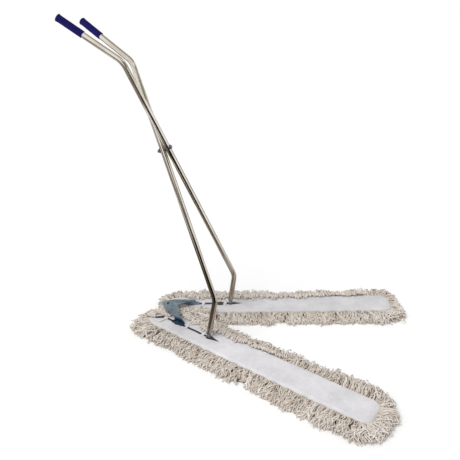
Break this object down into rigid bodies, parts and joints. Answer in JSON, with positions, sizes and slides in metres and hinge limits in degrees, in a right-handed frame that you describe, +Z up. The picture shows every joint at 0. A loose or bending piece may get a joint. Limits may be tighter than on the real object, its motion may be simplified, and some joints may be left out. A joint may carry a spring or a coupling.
{
  "type": "v-shaped dust mop",
  "caption": "Wide V-shaped dust mop: yarn mops in canvas covers hinged at an apex plate, steered by crossing bent tube handles on swivel feet.",
  "frame": {"origin": "on the floor, in the middle plane, halfway along the overall length", "axes": "+X forward, the way the V opens; +Y to the user's left; +Z up"},
  "size_m": [1.3584, 0.98, 1.2413],
  "materials": {
    "chrome_tube": "chrome-plated steel tube",
    "navy_vinyl": "moulded soft vinyl, slightly glossy",
    "zinc_plate": "pressed steel, zinc-plated, blue-grey",
    "plated_steel": "zinc-plated steel fasteners and joint pieces",
    "frame_steel": "welded steel rod and strip, thinly plated",
    "white_canvas": "white woven canvas, hemmed",
    "cotton_yarn": "soft cream cotton yarn, looped and loose"
  },
  "bodies": {
    "apex": {"apex_plate": "zinc_plate"},
    "left_mop": {"left_hinge_rivet": "plated_steel", "left_frame_rod": "frame_steel", "left_frame_spine": "frame_steel", "left_cross_bars": "frame_steel", "left_mop_cover": "white_canvas", "left_tie_tabs": "white_canvas", "left_yarn_pad": "cotton_yarn", "left_fringe_outer": "cotton_yarn", "left_fringe_inner": "cotton_yarn", "left_swivel_rivet": "plated_steel"},
    "left_foot": {"left_foot_yoke": "plated_steel", "left_lean_pin": "plated_steel"},
    "left_knuckle": {"left_foot_spider": "plated_steel"},
    "left_handle": {"left_foot_fork": "plated_steel", "left_fork_rivet": "plated_steel", "left_handle_tube": "chrome_tube", "left_grip": "navy_vinyl", "pivot_bolt": "plated_steel", "pivot_nut": "plated_steel", "pivot_washers": "plated_steel"},
    "right_mop": {"right_hinge_rivet": "plated_steel", "right_frame_rod": "frame_steel", "right_frame_spine": "frame_steel", "right_cross_bars": "frame_steel", "right_mop_cover": "white_canvas", "right_tie_tabs": "white_canvas", "right_yarn_pad": "cotton_yarn", "right_fringe_outer": "cotton_yarn", "right_fringe_inner": "cotton_yarn", "right_swivel_rivet": "plated_steel"},
    "right_foot": {"right_foot_yoke": "plated_steel", "right_lean_pin": "plated_steel"},
    "right_knuckle": {"right_foot_spider": "plated_steel"},
    "right_handle": {"right_foot_fork": "plated_steel", "right_fork_rivet": "plated_steel", "right_handle_tube": "chrome_tube", "right_grip": "navy_vinyl"}
  },
  "joints": [
    {"name": "v_close", "type": "hinge", "parent": "apex", "child": "left_mop", "pos_m": [-0.23116, 0.0832, 0.035], "axis": [0, 0, -1], "range_deg": [0, 18], "deforming": ["left_fringe_inner"]},
    {"name": "right_mop_swing", "type": "hinge", "parent": "apex", "child": "right_mop", "pos_m": [-0.23116, -0.0832, 0.035], "axis": [0, 0, 1], "range_deg": [0, 18], "deforming": ["right_fringe_inner"]},
    {"name": "left_foot_swivel", "type": "hinge", "parent": "left_mop", "child": "left_foot", "pos_m": [-0.07081, 0.13967, 0.047], "axis": [0, 0, 1], "range_deg": [0, 18]},
    {"name": "right_foot_swivel", "type": "hinge", "parent": "right_mop", "child": "right_foot", "pos_m": [-0.07081, -0.13967, 0.047], "axis": [0, 0, -1], "range_deg": [0, 18]},
    {"name": "handle_lean", "type": "hinge", "parent": "left_foot", "child": "left_knuckle", "pos_m": [-0.07081, 0.13967, 0.047], "axis": [0, 1, 0], "range_deg": [-45, 20]},
    {"name": "right_handle_lean", "type": "hinge", "parent": "right_foot", "child": "right_knuckle", "pos_m": [-0.07081, -0.13967, 0.047], "axis": [0, 1, 0], "range_deg": [-45, 20]},
    {"name": "left_handle_spread", "type": "hinge", "parent": "left_knuckle", "child": "left_handle", "pos_m": [-0.07081, 0.13967, 0.047], "axis": [-0.9191, 0, -0.3939], "range_deg": [0, 4.1]},
    {"name": "right_handle_spread", "type": "hinge", "parent": "right_knuckle", "child": "right_handle", "pos_m": [-0.07081, -0.13967, 0.047], "axis": [0.9191, 0, 0.3939], "range_deg": [0, 4.1]}
  ],
  "couplings": [
    {"joint": "right_mop_swing", "follows": "v_close", "ratio": 1},
    {"joint": "left_foot_swivel", "follows": "v_close", "ratio": 1},
    {"joint": "right_foot_swivel", "follows": "v_close", "ratio": 1},
    {"joint": "left_handle_spread", "follows": "v_close", "ratio": 0.2229},
    {"joint": "right_handle_spread", "follows": "v_close", "ratio": 0.2229},
    {"joint": "right_handle_lean", "follows": "handle_lean", "ratio": 1}
  ]
}
